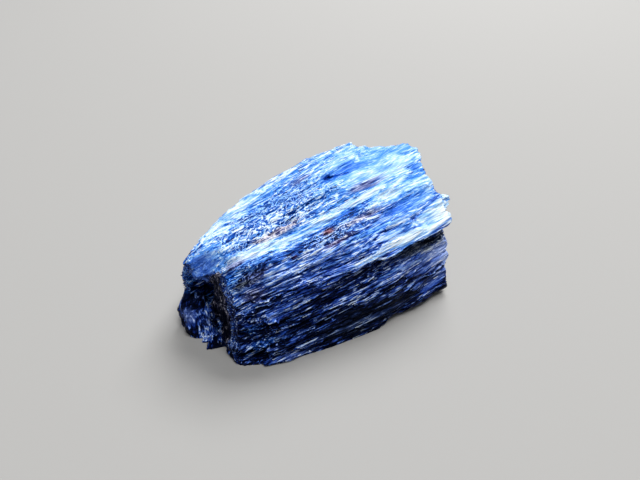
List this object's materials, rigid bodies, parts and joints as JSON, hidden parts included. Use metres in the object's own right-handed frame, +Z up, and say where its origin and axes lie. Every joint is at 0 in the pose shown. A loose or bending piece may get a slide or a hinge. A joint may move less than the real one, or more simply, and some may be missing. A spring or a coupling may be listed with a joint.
{
  "type": "dumortierite cluster",
  "caption": "Chip of fibrous blue dumortierite: one mass of parallel, slightly fanning fibres, split along the grain and snapped across it at both ends.",
  "frame": {"origin": "under the middle of the chip, on the surface that it lies on", "axes": "+X along the fibres towards the thick end, +Y towards the back, +Z up"},
  "size_m": [0.0164, 0.01, 0.0061],
  "materials": {
    "dumortierite": "fibrous vitreous"
  },
  "bodies": {
    "root": {"dumortierite_cluster": "dumortierite"}
  },
  "joints": []
}
